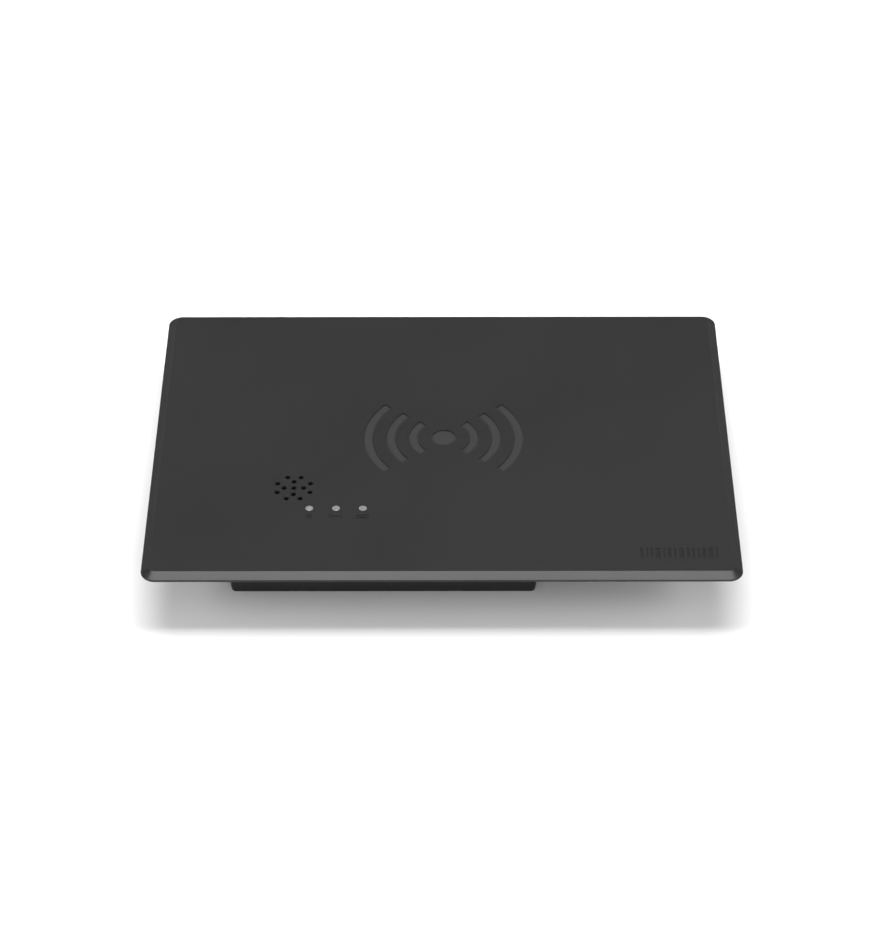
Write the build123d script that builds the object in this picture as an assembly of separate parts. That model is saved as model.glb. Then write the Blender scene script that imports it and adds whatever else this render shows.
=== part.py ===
"""Checkout label-deactivation pad: a flat antenna pad on an offset electronics base.

Millimetres. +X is to the user's right, +Y away from the user, +Z up.
The origin is the middle of the pad's plan, on the surface that the rubber feet stand on.
"""
from build123d import *
from math import cos, pi, radians, sin, sqrt, tan
import os

# ---------------------------------------------------------------- pad and housings
PAD_W = 330.0            # pad width along X
PAD_D = 240.0            # pad depth along Y
PAD_CORNER_R = 8.0       # plan radius of the pad's corners
LIP_H = 1.5              # upright rim of the cover
LIP_T = 4.0              # thickness of that rim
BEVEL_W = 4.6            # run of the bevel between the rim and the flat top
BEVEL_H = 2.8            # rise of that bevel
COVER_WALL = 2.0         # thickness of the cover's top plate
EDGE_R = 0.5             # small radius on the cover's visible edges
UNDER_R = 0.9            # larger radius under the rim

TRAY_INSET = 11.0        # tray wall in from the pad's edge
TRAY_CORNER_R = 10.0
TRAY_DEPTH = 6.9         # tray floor below the cover's rim
TRAY_WALL = 1.8
TRAY_EDGE_R = 2.0        # radius round the tray's lower edge

BASE_LEFT = 48.2         # base side in from the pad's left edge
BASE_FRONT = 14.0        # base front in from the pad's front edge
BASE_REAR = 43.5         # base rear wall in from the pad's rear edge
BASE_W = 168.8
BASE_H = 12.3
BASE_CORNER_R = 3.0
BASE_WALL = 2.2
BASE_DRAFT_W = 0.4       # the foot of the base tapers in by this much
BASE_DRAFT_H = 3.0       # over this height
FOOT_PROUD = 1.5         # how far the rubber feet stand out of the base

# ---------------------------------------------------------------- shared clearances
SEAT_GAP = 0.2           # between mouldings that nest
CEILING_GAP = 0.3        # between the tray's flange and the cover's top plate
SLIP = 0.1               # round a piece that drops into a hole
THREAD_GAP = 0.05        # round a screw in its pilot hole

# ---------------------------------------------------------------- fasteners
SCREW_D = 2.9            # self-tapping housing screws
SCREW_HEAD_D = 5.6
SCREW_HEAD_H = 1.9
HEAD_SINK = 0.3          # screw heads below the face they are sunk in
SMALL_SCREW_D = 2.4      # board and shield screws
SMALL_HEAD_D = 4.4
SMALL_HEAD_H = 1.3
TINY_SCREW_D = 1.6       # indicator board and speaker strap screws
TINY_HEAD_D = 3.4
TINY_HEAD_H = 1.2
BOSS_WALL = 2.0          # plastic round a pilot hole

# ---------------------------------------------------------------- top face features
SYMBOL_X = 1.0           # middle of the wave symbol
SYMBOL_Y = 0.4
SYMBOL_DEPTH = 0.5
SYMBOL_DOT_R = 6.9
SYMBOL_ARCS = ((17.5, 48.0), (30.3, 44.0), (43.3, 42.0))    # middle radius and half angle of each arc
SYMBOL_ARC_W = 5.0

LENS_D = 4.4
LENS_GAP = 0.2           # ring of air round a lens
LENS_PITCH = 15.0
LENS_DOME = 0.5          # dome height above the top face
LENS_FLANGE_D = 6.0
LENS_FLANGE_H = 0.8
LENS_FROM_BASE = (42.6, 43.7)       # first lens from the base's front left corner
ICON_DROP = 7.2          # pictograms below the lens centres
ICON_DEPTH = 0.25
ICON_LINE = 0.6

SPEAKER_D = 24.0
SPEAKER_FROM_BASE = (33.3, 61.3)    # speaker from the base's front left corner
GRILLE_HOLE_D = 3.0
GRILLE_INNER_R = 5.5
GRILLE_OUTER_R = 10.0

MARK_FROM_RIGHT = 34.5   # middle of the bar-code pictogram in from the right edge
MARK_FROM_FRONT = 19.5
MARK_BARS = (1.6, 0.8, 0.8, 2.4, 0.8, 1.6, 0.8, 2.4, 1.6, 0.8, 0.8, 1.6, 2.4, 0.8)
MARK_GAP = 1.8
MARK_H = 8.0
MARK_DEPTH = 0.2

# ---------------------------------------------------------------- boards
BOARD_T = 1.6
STANDOFF_H = 3.5         # control board above the base floor
ANTENNA_INSET = 36.0     # antenna board in from the pad's edge
ANTENNA_DROP = 3.0       # antenna board's top below the cover's top plate
COPPER_T = 0.2
COIL_TURNS = 4
COIL_PITCH = 2.4
COIL_TRACE = 1.4
COIL_MARGIN = 2.0        # outer trace in from the board's edge
COIL_CORNER_R = 14.0
RX_TURNS = 4
RX_OUTER_R = 24.0
RX_PITCH = 3.2
SHIELD_T = 0.8
HEADER_H = 5.0

# ---------------------------------------------------------------- rear controls
INLET_BORE_D = 5.8
INLET_PIN_D = 2.0
INLET_BARREL_D = 8.0
INLET_DEPTH = 9.5
SWITCH_W = 15.0          # bezel width
ROCKER_R = 5.6           # rocker's end radius about its pivot
ROCKER_TILT = 10.0       # each way from level
ROCKER_PIN_D = 1.6
SHAFT_D = 3.0
BUSH_D = 6.0
KNOB_LEN = 8.0
KNOB_RIBS = 18

# ---------------------------------------------------------------- derived levels
Z_BASE = FOOT_PROUD
Z_TRAY = Z_BASE + BASE_H
Z_RIM = Z_TRAY + TRAY_DEPTH
Z_LIP = Z_RIM + LIP_H
Z_TOP = Z_LIP + BEVEL_H
Z_CEIL = Z_TOP - COVER_WALL
Z_FLOOR = Z_BASE + BASE_WALL            # inside floor of the base
Z_TRAY_FLOOR = Z_TRAY + TRAY_WALL       # inside floor of the tray
Z_CONTROL = Z_FLOOR + STANDOFF_H
Z_PARTS = Z_CONTROL + BOARD_T           # what is soldered to the control board stands here
Z_ANTENNA_TOP = Z_CEIL - ANTENNA_DROP
Z_ANTENNA = Z_ANTENNA_TOP - BOARD_T

# ---------------------------------------------------------------- derived plan places
BASE_X0 = -PAD_W / 2 + BASE_LEFT
BASE_X1 = BASE_X0 + BASE_W
BASE_Y0 = -PAD_D / 2 + BASE_FRONT
BASE_Y1 = PAD_D / 2 - BASE_REAR
BASE_CX = (BASE_X0 + BASE_X1) / 2
BASE_CY = (BASE_Y0 + BASE_Y1) / 2
BASE_D = BASE_Y1 - BASE_Y0
TRAY_W = PAD_W - 2 * TRAY_INSET
TRAY_D = PAD_D - 2 * TRAY_INSET

LENS_X = [BASE_X0 + LENS_FROM_BASE[0] + i * LENS_PITCH for i in range(3)]
LENS_Y = BASE_Y0 + LENS_FROM_BASE[1]
SPEAKER_X = BASE_X0 + SPEAKER_FROM_BASE[0]
SPEAKER_Y = BASE_Y0 + SPEAKER_FROM_BASE[1]
RING_WALL = 1.2
RING_R = SPEAKER_D / 2 + CEILING_GAP + RING_WALL

PILOT_D = SCREW_D + 2 * THREAD_GAP
PASS_D = SCREW_D + 0.5
SINK_D = SCREW_HEAD_D + 0.6
BOSS_D = PILOT_D + 2 * BOSS_WALL
SMALL_PILOT_D = SMALL_SCREW_D + 2 * THREAD_GAP
SMALL_PASS_D = SMALL_SCREW_D + 0.4
TINY_PILOT_D = TINY_SCREW_D + 2 * THREAD_GAP

OPEN_INSET = 12.0        # tray window in from the base's sides
BASE_SCREW_INSET = 7.0
BASE_SCREWS = [(x, y) for x in (BASE_X0 + BASE_SCREW_INSET, BASE_X1 - BASE_SCREW_INSET)
               for y in (BASE_Y0 + BASE_SCREW_INSET, BASE_CY, BASE_Y1 - BASE_SCREW_INSET)]
TRAY_SCREW_INSET = 12.5
TRAY_SX = TRAY_W / 2 - TRAY_SCREW_INSET
TRAY_SY = TRAY_D / 2 - TRAY_SCREW_INSET
REAR_SCREW_X = 50.0
TRAY_SCREWS = [(sx * TRAY_SX, sy * TRAY_SY) for sx in (-1, 1) for sy in (-1, 0, 1)]
TRAY_SCREWS += [(-REAR_SCREW_X, TRAY_SY), (REAR_SCREW_X, TRAY_SY), ((BASE_X1 + TRAY_SX) / 2, -TRAY_SY)]

ANTENNA_W = PAD_W - 2 * ANTENNA_INSET
ANTENNA_D = PAD_D - 2 * ANTENNA_INSET
ANTENNA_SX = ANTENNA_W / 2 - 17.0
ANTENNA_SY = ANTENNA_D / 2 - 21.0
ANTENNA_SCREWS = [(sx * ANTENNA_SX, sy * ANTENNA_SY) for sx in (-1, 1) for sy in (-1, 0, 1)]
ANTENNA_SCREWS += [(BASE_X1 + 7.0, sy * ANTENNA_SY) for sy in (-1, 1)]

IND_MARGIN = 11.0        # indicator board beyond its outer lenses
IND_SCREW = 7.5          # its screws beyond the outer lenses
IND_Y1 = min(LENS_Y + 4.0, SPEAKER_Y - RING_R - 0.5)
IND_Y0 = LENS_Y - 6.0
IND_X0 = LENS_X[0] - IND_MARGIN
IND_X1 = LENS_X[2] + IND_MARGIN
Z_IND_TOP = Z_CEIL - 3.4
LED_H = 1.1

BOARD_SIDE = 14.5        # control board in from the base's sides
BOARD_FRONT = 13.5
BOARD_REAR = 26.5
CB_X0 = BASE_X0 + BOARD_SIDE
CB_X1 = BASE_X1 - BOARD_SIDE
CB_Y0 = BASE_Y0 + BOARD_FRONT
CB_Y1 = BASE_Y1 - BOARD_REAR
CB_HOLE = 4.0
CONTROL_SCREWS = [(x, y) for x in (CB_X0 + CB_HOLE, CB_X1 - CB_HOLE)
                  for y in (CB_Y0 + CB_HOLE, CB_Y1 - CB_HOLE)]
ANTENNA_PLUG_X = BASE_X0 + 66.0
ANTENNA_PLUG_Y = CB_Y1 - 4.0
SHIELD_X0 = ANTENNA_PLUG_X + 22.0
SHIELD_X1 = BASE_X1 - 11.0
SHIELD_LEDGE = 5.0       # shield beyond the tray window
SHIELD_SCREWS = [(x, y) for x in (SHIELD_X0 + 6.0, SHIELD_X1 - 6.0)
                 for y in (BASE_Y0 + OPEN_INSET - SHIELD_LEDGE / 2, BASE_Y1 - OPEN_INSET + SHIELD_LEDGE / 2)]

FOOT_D = 12.0
FOOT_SINK = 0.5
FOOT_INSET = 18.0
BASE_FEET = {f"foot_base_{fy}_{fx}": (x, y)
             for fx, x in (("left", BASE_X0 + FOOT_INSET), ("right", BASE_X1 - FOOT_INSET))
             for fy, y in (("front", BASE_Y0 + FOOT_INSET), ("rear", BASE_Y1 - FOOT_INSET))}
POST_D = 18.0
POST_WALL = 2.0
POST_X = PAD_W / 2 - 45.0
POST_Y = PAD_D / 2 - 42.0
POST_FEET = {"foot_post_front": (POST_X, -POST_Y), "foot_post_rear": (POST_X, POST_Y)}

PANEL_Z = (Z_FLOOR + Z_TRAY) / 2        # centre height of what is on the rear wall
PANEL_IN = BASE_Y1 - BASE_WALL          # inside face of the rear wall
INLET_X = BASE_CX - 45.0
SWITCH_X = BASE_CX - 15.0
VOLUME_X = BASE_CX + 20.0
INLET_FLANGE_D = BASE_H - BASE_WALL - 0.5        # also the width of the nut inside the wall
BEZEL_H = BASE_H - BASE_WALL - 0.6
BEZEL_T = 1.5
SWITCH_BODY_W = SWITCH_W - 2.0
SWITCH_BODY_H = BEZEL_H - 1.3
SWITCH_DEPTH = 12.0
ROCKER_CAVITY_W = 2 * (ROCKER_R + SLIP)
ROCKER_CAVITY_H = SWITCH_BODY_H - 1.4
ROCKER_H = ROCKER_CAVITY_H - 2 * SLIP
PIVOT_Y = BASE_Y1 - 0.2
KNOB_D = BASE_H - BASE_WALL - 0.7
KNOB_Y0 = BASE_Y1 + 3.5
NUT_H = 1.8

UP = (Align.CENTER, Align.CENTER, Align.MIN)


# ---------------------------------------------------------------- small builders
def plate(w, d, r, z0, z1, cx=0.0, cy=0.0):
    """An upright prism with rounded plan corners."""
    return extrude(Pos(cx, cy, z0) * RectangleRounded(w, d, r), z1 - z0)


def block(x0, x1, y0, y1, z0, z1):
    return Pos((x0 + x1) / 2, (y0 + y1) / 2, z0) * Box(x1 - x0, y1 - y0, z1 - z0, align=UP)


def rod(d, z0, z1, x=0.0, y=0.0):
    return Pos(x, y, z0) * Cylinder(d / 2, z1 - z0, align=UP)


def rods(d, z0, z1, places):
    return [rod(d, z0, z1, x, y) for x, y in places]


def rear_rod(d, y0, y1, x, z=PANEL_Z):
    """A cylinder along Y."""
    return Pos(x, y0, z) * Rot(-90, 0, 0) * Cylinder(d / 2, y1 - y0, align=UP)


def hex_nut(across, bore, y0, y1, x):
    """A nut whose axis is along Y."""
    nut = extrude(RegularPolygon(across / sqrt(3), 6) - Circle(bore / 2), y1 - y0)
    return Pos(x, y0, PANEL_Z) * Rot(-90, 0, 0) * nut


def edges_at(shape, z):
    return shape.edges().filter_by_position(Axis.Z, z - 1e-4, z + 1e-4)


def cross_recess(head_d, depth):
    slot = Box(head_d * 0.62, head_d * 0.14, depth, align=UP)
    return slot + Rot(0, 0, 90) * slot


def screw(d, head_d, head_h, seat_z, tip_z, x, y):
    """A pan-head screw whose head sits against seat_z and whose shank runs to tip_z."""
    up = 1 if tip_z > seat_z else -1
    length = abs(tip_z - seat_z)
    head = Cylinder(head_d / 2, head_h, align=UP)
    head = fillet(head.edges().sort_by(Axis.Z)[-1], min(0.45 * head_h, 0.8))
    head -= Pos(0, 0, head_h * 0.5) * cross_recess(head_d, head_h)
    shank = Rot(180, 0, 0) * Cylinder(d / 2, length, align=UP)
    shank = chamfer(shank.edges().sort_by(Axis.Z)[0], d * 0.25)
    return Pos(x, y, seat_z) * Rot(180 if up > 0 else 0, 0, 0) * (head + shank)


def lead(d, points):
    """A round wire along straight runs joined by the largest arcs that the runs allow."""
    vectors = [Vector(*p) for p in points]
    runs = [b - a for a, b in zip(vectors, vectors[1:])]
    radii = []
    for a, b in zip(runs, runs[1:]):
        half_turn = radians(a.get_angle(b)) / 2
        radii.append(0.45 * min(a.length, b.length) / tan(half_turn))
    path = FilletPolyline(*points, radius=radii)
    print("lead of diameter", d, "radii", [round(r, 1) for r in radii])
    return sweep(Plane(origin=path @ 0, z_dir=path % 0) * Circle(d / 2), path=path)


# ---------------------------------------------------------------- cover
def two_wedges(reach, rise):
    """A pair of triangles that open to either side of the origin."""
    return Sketch() + [Polygon((0, 0), (s * reach, -rise), (s * reach, rise), align=None) for s in (-1, 1)]


def wave_symbol():
    shape = Sketch() + Circle(SYMBOL_DOT_R)
    for mid, half_angle in SYMBOL_ARCS:
        reach = 2 * mid
        ring = Circle(mid + SYMBOL_ARC_W / 2) - Circle(mid - SYMBOL_ARC_W / 2)
        shape += ring & two_wedges(reach, reach * tan(radians(half_angle)))
    return Pos(SYMBOL_X, SYMBOL_Y) * shape


def power_icon():
    ring = Circle(1.7) - Circle(1.7 - ICON_LINE)
    return ring - Pos(0, 1.7) * Rectangle(1.6, 2.0) + Pos(0, 1.1) * Rectangle(ICON_LINE, 1.8)


def detect_icon():
    shape = Sketch() + Circle(0.7)
    for mid in (1.9, 3.3):
        ring = Circle(mid + ICON_LINE / 2) - Circle(mid - ICON_LINE / 2)
        shape += ring & two_wedges(6.0, 4.0)
    return shape


def deactivate_icon():
    tag = RectangleRounded(7.0, 3.2, 0.8) - RectangleRounded(7.0 - 2 * ICON_LINE, 3.2 - 2 * ICON_LINE, 0.3)
    return tag + Rot(0, 0, 32) * Rectangle(8.6, ICON_LINE)


def bar_mark():
    width = sum(MARK_BARS) + MARK_GAP * (len(MARK_BARS) - 1)
    left = PAD_W / 2 - MARK_FROM_RIGHT - width / 2
    middle = -PAD_D / 2 + MARK_FROM_FRONT
    shape = Sketch()
    for bar in MARK_BARS:
        shape += Pos(left + bar / 2, middle) * Rectangle(bar, MARK_H)
        left += bar + MARK_GAP
    return shape


def grille_places():
    places = [(0.0, 0.0)]
    for i in range(4):
        places.append((GRILLE_INNER_R * cos(i * pi / 2), GRILLE_INNER_R * sin(i * pi / 2)))
    for i in range(8):
        turn = (i + 0.5) * pi / 4
        places.append((GRILLE_OUTER_R * cos(turn), GRILLE_OUTER_R * sin(turn)))
    return [(SPEAKER_X + x, SPEAKER_Y + y) for x, y in places]


STRAP_ANGLE = 150.0      # speaker strap across the ring, clear of the lenses
STRAP_REACH = RING_R + 3.0
STRAP_SCREWS = [(SPEAKER_X + s * STRAP_REACH * cos(radians(STRAP_ANGLE)),
                 SPEAKER_Y + s * STRAP_REACH * sin(radians(STRAP_ANGLE))) for s in (-1, 1)]
IND_SCREWS = [(LENS_X[0] - IND_SCREW, LENS_Y - 1.0), (LENS_X[2] + IND_SCREW, LENS_Y - 1.0)]
CLOTH_T = 0.15
GASKET_T = 0.85
Z_SPEAKER_TOP = Z_CEIL - CLOTH_T - GASKET_T
SPEAKER_H = 3.8
Z_SPEAKER = Z_SPEAKER_TOP - SPEAKER_H
STRAP_T = 1.0
CUP_H = 2.2              # raised cups round the tray's sunk screws
Z_CUP = Z_TRAY_FLOOR + CUP_H
RIB_T = 1.2
RIB_H = 1.4
RIB_INSET = TRAY_INSET + TRAY_WALL + 1.0


def cover_ribs():
    """A grid of low ribs under the top plate, clear of the speaker and the indicator board."""
    x1 = PAD_W / 2 - RIB_INSET
    y1 = PAD_D / 2 - RIB_INSET
    ribs = [block(-x1, x1, y - RIB_T / 2, y + RIB_T / 2, Z_CEIL - RIB_H, Z_CEIL)
            for y in [y1 * k / 3 for k in (-2, -1, 0, 1, 2)]]
    ribs += [block(x - RIB_T / 2, x + RIB_T / 2, -y1, y1, Z_CEIL - RIB_H, Z_CEIL)
             for x in [x1 * k / 4 for k in (-3, -2, -1, 0, 1, 2, 3)]]
    grid = Part() + ribs
    clear_x1 = IND_X1 + 1.0
    clear_y1 = SPEAKER_Y + RING_R + 1.0
    return grid - block(SPEAKER_X - RING_R - 6.0, clear_x1, IND_Y0 - 1.0, clear_y1, Z_CEIL - RIB_H, Z_CEIL)


def top_cover():
    outer = plate(PAD_W, PAD_D, PAD_CORNER_R, Z_RIM, Z_LIP)
    low = Pos(0, 0, Z_LIP) * RectangleRounded(PAD_W, PAD_D, PAD_CORNER_R)
    flat_top = RectangleRounded(PAD_W - 2 * BEVEL_W, PAD_D - 2 * BEVEL_W, PAD_CORNER_R - BEVEL_W)
    outer += loft([low, Pos(0, 0, Z_TOP) * flat_top], ruled=True)
    outer = fillet(edges_at(outer, Z_TOP), EDGE_R)
    outer = fillet(edges_at(outer, Z_LIP), EDGE_R)
    outer = fillet(edges_at(outer, Z_RIM), UNDER_R)
    pocket = plate(PAD_W - 2 * LIP_T, PAD_D - 2 * LIP_T, PAD_CORNER_R - LIP_T, Z_RIM - 1, Z_CEIL)
    cover = outer - pocket
    cover += cover_ribs()
    cover += rods(BOSS_D, Z_CUP, Z_CEIL, TRAY_SCREWS)
    cover += rods(TINY_PILOT_D + 3.0, Z_IND_TOP, Z_CEIL, IND_SCREWS)
    cover += rods(TINY_PILOT_D + 3.0, Z_SPEAKER, Z_CEIL, STRAP_SCREWS)
    ring = Circle(RING_R) - Circle(RING_R - RING_WALL)
    cover += Pos(SPEAKER_X, SPEAKER_Y, Z_SPEAKER) * extrude(ring, Z_CEIL - Z_SPEAKER)
    cuts = rods(PILOT_D, Z_CUP, Z_CEIL - 0.5, TRAY_SCREWS)
    cuts += rods(TINY_PILOT_D, Z_IND_TOP, Z_CEIL - 0.5, IND_SCREWS)
    cuts += rods(TINY_PILOT_D, Z_SPEAKER, Z_CEIL - 0.5, STRAP_SCREWS)
    cuts += rods(GRILLE_HOLE_D, Z_CEIL - 1, Z_TOP + 1, grille_places())
    for x in LENS_X:
        cuts.append(rod(LENS_D + 2 * LENS_GAP, Z_CEIL - 1, Z_TOP + 1, x, LENS_Y))
    cuts.append(extrude(Pos(0, 0, Z_TOP - SYMBOL_DEPTH) * wave_symbol(), SYMBOL_DEPTH + 1))
    cuts.append(extrude(Pos(0, 0, Z_TOP - MARK_DEPTH) * bar_mark(), MARK_DEPTH + 1))
    for x, icon in zip(LENS_X, (power_icon(), detect_icon(), deactivate_icon())):
        cuts.append(extrude(Pos(x, LENS_Y - ICON_DROP, Z_TOP - ICON_DEPTH) * icon, ICON_DEPTH + 1))
    return cover - cuts


# ---------------------------------------------------------------- tray and base
def lower_tray():
    flange_inset = LIP_T + SEAT_GAP
    flange = plate(PAD_W - 2 * flange_inset, PAD_D - 2 * flange_inset, PAD_CORNER_R - flange_inset,
                   Z_RIM + SEAT_GAP, Z_CEIL - CEILING_GAP)
    pan = plate(TRAY_W, TRAY_D, TRAY_CORNER_R, Z_TRAY, Z_RIM + SEAT_GAP)
    pan = fillet(edges_at(pan, Z_TRAY), TRAY_EDGE_R)
    tray = flange + pan
    tray += rods(POST_D, Z_BASE, Z_TRAY + 1, POST_FEET.values())
    tray -= plate(TRAY_W - 2 * TRAY_WALL, TRAY_D - 2 * TRAY_WALL, TRAY_CORNER_R - TRAY_WALL,
                  Z_TRAY_FLOOR, Z_TOP)
    tray += rods(SINK_D + 2 * TRAY_WALL, Z_TRAY_FLOOR, Z_CUP, TRAY_SCREWS)
    tray += rods(BOSS_D - 0.5, Z_TRAY_FLOOR, Z_ANTENNA - SEAT_GAP, BASE_SCREWS)
    tray += rods(SMALL_PILOT_D + 3.0, Z_TRAY_FLOOR, Z_ANTENNA, ANTENNA_SCREWS)
    tray += rods(SMALL_PILOT_D + 2.6, Z_TRAY - 2.5, Z_TRAY_FLOOR, SHIELD_SCREWS)
    cuts = [plate(BASE_W - 2 * OPEN_INSET, BASE_D - 2 * OPEN_INSET, BASE_CORNER_R,
                  Z_TRAY - 1, Z_TRAY_FLOOR + 1, BASE_CX, BASE_CY)]
    cuts += rods(PASS_D, Z_TRAY - 1, Z_CUP + 1, TRAY_SCREWS)
    cuts += rods(SINK_D, Z_TRAY - 1, Z_TRAY + HEAD_SINK + SCREW_HEAD_H, TRAY_SCREWS)
    cuts += rods(PILOT_D, Z_TRAY - 1, Z_ANTENNA, BASE_SCREWS)
    cuts += rods(SMALL_PILOT_D, Z_TRAY_FLOOR, Z_ANTENNA + 1, ANTENNA_SCREWS)
    cuts += rods(SMALL_PILOT_D, Z_TRAY - 3, Z_TRAY_FLOOR + 1, SHIELD_SCREWS)
    cuts += rods(POST_D - 2 * POST_WALL, Z_BASE + FOOT_SINK + POST_WALL, Z_TRAY_FLOOR + 1, POST_FEET.values())
    cuts += rods(FOOT_D + 2 * SLIP, Z_BASE - 1, Z_BASE + FOOT_SINK, POST_FEET.values())
    return tray - cuts


VENT_W = 2.0
VENT_LEN = 24.0
VENT_PITCH = 5.0
VENTS = 9
LABEL_W = 62.0
LABEL_D = 34.0
LABEL_SINK = 0.3
LABEL_T = 0.2
LABEL_Y = BASE_CY - 26.0


def base_housing():
    z_draft = Z_BASE + BASE_DRAFT_H
    base = plate(BASE_W, BASE_D, BASE_CORNER_R, z_draft, Z_TRAY, BASE_CX, BASE_CY)
    wide = Pos(BASE_CX, BASE_CY, z_draft) * RectangleRounded(BASE_W, BASE_D, BASE_CORNER_R)
    narrow = RectangleRounded(BASE_W - 2 * BASE_DRAFT_W, BASE_D - 2 * BASE_DRAFT_W,
                              BASE_CORNER_R - BASE_DRAFT_W)
    base += loft([Pos(BASE_CX, BASE_CY, Z_BASE) * narrow, wide], ruled=True)
    base -= plate(BASE_W - 2 * BASE_WALL, BASE_D - 2 * BASE_WALL, BASE_CORNER_R - BASE_WALL,
                  Z_FLOOR, Z_TRAY + 1, BASE_CX, BASE_CY)
    base += rods(SINK_D + 2.4, Z_FLOOR - 0.5, Z_TRAY, BASE_SCREWS)
    base += rods(SMALL_PILOT_D + 3.0, Z_FLOOR, Z_CONTROL, CONTROL_SCREWS)
    cuts = rods(PASS_D, Z_BASE - 1, Z_TRAY + 1, BASE_SCREWS)
    cuts += rods(SINK_D, Z_BASE - 1, Z_BASE + 3.0, BASE_SCREWS)
    cuts += rods(SMALL_PILOT_D, Z_FLOOR + 0.5, Z_CONTROL + 1, CONTROL_SCREWS)
    cuts += rods(FOOT_D + 2 * SLIP, Z_BASE - 1, Z_BASE + FOOT_SINK, BASE_FEET.values())
    cuts.append(plate(LABEL_W + 2 * SEAT_GAP, LABEL_D + 2 * SEAT_GAP, 2.0, Z_BASE - 1, Z_BASE + LABEL_SINK,
                      BASE_CX, LABEL_Y))
    for side in (-1, 1):
        for i in range(VENTS):
            x = BASE_CX + side * 26.0 + (i - (VENTS - 1) / 2) * VENT_PITCH
            slot = Rot(0, 0, 90) * SlotOverall(VENT_LEN, VENT_W)
            cuts.append(extrude(Pos(x, BASE_CY + 30.0, Z_BASE - 1) * slot, BASE_WALL + 2))
    wall = (PANEL_IN - 1, BASE_Y1 + 1)
    cuts.append(rear_rod(INLET_BARREL_D + 2 * SLIP, *wall, INLET_X))
    cuts.append(rear_rod(BUSH_D + 2 * SLIP, *wall, VOLUME_X))
    half_w = SWITCH_BODY_W / 2 + SLIP
    half_h = SWITCH_BODY_H / 2 + SLIP
    cuts.append(block(SWITCH_X - half_w, SWITCH_X + half_w, *wall, PANEL_Z - half_h, PANEL_Z + half_h))
    return base - cuts


def rating_label():
    return plate(LABEL_W, LABEL_D, 2.0 - SEAT_GAP, Z_BASE + LABEL_SINK - LABEL_T, Z_BASE + LABEL_SINK,
                 BASE_CX, LABEL_Y)


def foot(x, y):
    pad = rod(FOOT_D, 0, Z_BASE + FOOT_SINK, x, y)
    return chamfer(edges_at(pad, 0), 0.6)


# ---------------------------------------------------------------- indicators and speaker
def lens(x):
    stem_z = Z_IND_TOP + LED_H + SLIP
    body = rod(LENS_D - 0.4, stem_z, Z_CEIL, x, LENS_Y)
    body += rod(LENS_FLANGE_D, Z_CEIL - LENS_FLANGE_H, Z_CEIL, x, LENS_Y)
    body += rod(LENS_D, Z_CEIL, Z_TOP, x, LENS_Y)
    ball_r = ((LENS_D / 2) ** 2 + LENS_DOME ** 2) / (2 * LENS_DOME)
    ball = Pos(x, LENS_Y, Z_TOP + LENS_DOME - ball_r) * Sphere(ball_r)
    return body + (ball & rod(LENS_D, Z_TOP, Z_TOP + 1, x, LENS_Y))


def indicator_board():
    board = block(IND_X0, IND_X1, IND_Y0, IND_Y1, Z_IND_TOP - BOARD_T, Z_IND_TOP)
    return board - rods(TINY_PILOT_D + 0.3, Z_IND_TOP - 2, Z_IND_TOP + 1, IND_SCREWS)


def indicator_leds():
    return [block(x - 1.5, x + 1.5, LENS_Y - 0.8, LENS_Y + 0.8, Z_IND_TOP, Z_IND_TOP + LED_H) for x in LENS_X]


def speaker_parts():
    here = Pos(SPEAKER_X, SPEAKER_Y, 0)
    r = SPEAKER_D / 2
    frame = rod(SPEAKER_D, Z_SPEAKER, Z_SPEAKER_TOP)
    frame -= rod(SPEAKER_D - 1.6, Z_SPEAKER + 0.7, Z_SPEAKER_TOP + 1)
    frame = fillet(edges_at(frame, Z_SPEAKER), 0.6)
    magnet = rod(SPEAKER_D * 0.5, Z_SPEAKER + 0.7, Z_SPEAKER + 1.9)
    rim_z = Z_SPEAKER_TOP - 0.6
    throat_r = r * 0.35
    throat_z = Z_SPEAKER + 2.1
    cone_t = 0.3
    profile = Polygon((0, throat_z), (throat_r, throat_z), (r - 0.8, rim_z), (r - 0.8, rim_z + cone_t),
                      (r - 1.6, rim_z + cone_t), (throat_r - cone_t, throat_z + cone_t),
                      (0, throat_z + cone_t), align=None)
    cone = revolve(Plane.XZ * profile, Axis.Z)
    gasket = extrude(Pos(0, 0, Z_SPEAKER_TOP) * (Circle(r - 0.2) - Circle(r - 1.0)), GASKET_T)
    cloth = rod(SPEAKER_D, Z_CEIL - CLOTH_T, Z_CEIL)
    strap = Rot(0, 0, STRAP_ANGLE) * SlotOverall(2 * STRAP_REACH + 5.0, 5.0)
    strap = extrude(Pos(0, 0, Z_SPEAKER - STRAP_T) * strap, STRAP_T)
    strap = here * strap - rods(TINY_PILOT_D + 0.3, Z_SPEAKER - 2, Z_SPEAKER + 1, STRAP_SCREWS)
    return {"speaker_frame": here * frame, "speaker_magnet": here * magnet, "speaker_cone": here * cone,
            "speaker_gasket": here * gasket, "grille_cloth": here * cloth, "speaker_strap": strap}


# ---------------------------------------------------------------- antenna
WINDOW_X0 = SPEAKER_X - RING_R - 6.5
WINDOW_X1 = IND_X1 + 1.2
WINDOW_Y0 = IND_Y0 - 1.2
WINDOW_Y1 = SPEAKER_Y + RING_R + 4.8
SX0 = ANTENNA_W / 2 - COIL_MARGIN - COIL_TRACE / 2
SY0 = ANTENNA_D / 2 - COIL_MARGIN - COIL_TRACE / 2


def antenna_board():
    board = plate(ANTENNA_W, ANTENNA_D, 4.0, Z_ANTENNA, Z_ANTENNA_TOP)
    board -= block(WINDOW_X0, WINDOW_X1, WINDOW_Y0, WINDOW_Y1, Z_ANTENNA - 1, Z_ANTENNA_TOP + 1)
    return board - rods(SMALL_PASS_D, Z_ANTENNA - 1, Z_ANTENNA_TOP + 1, ANTENNA_SCREWS)


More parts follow.
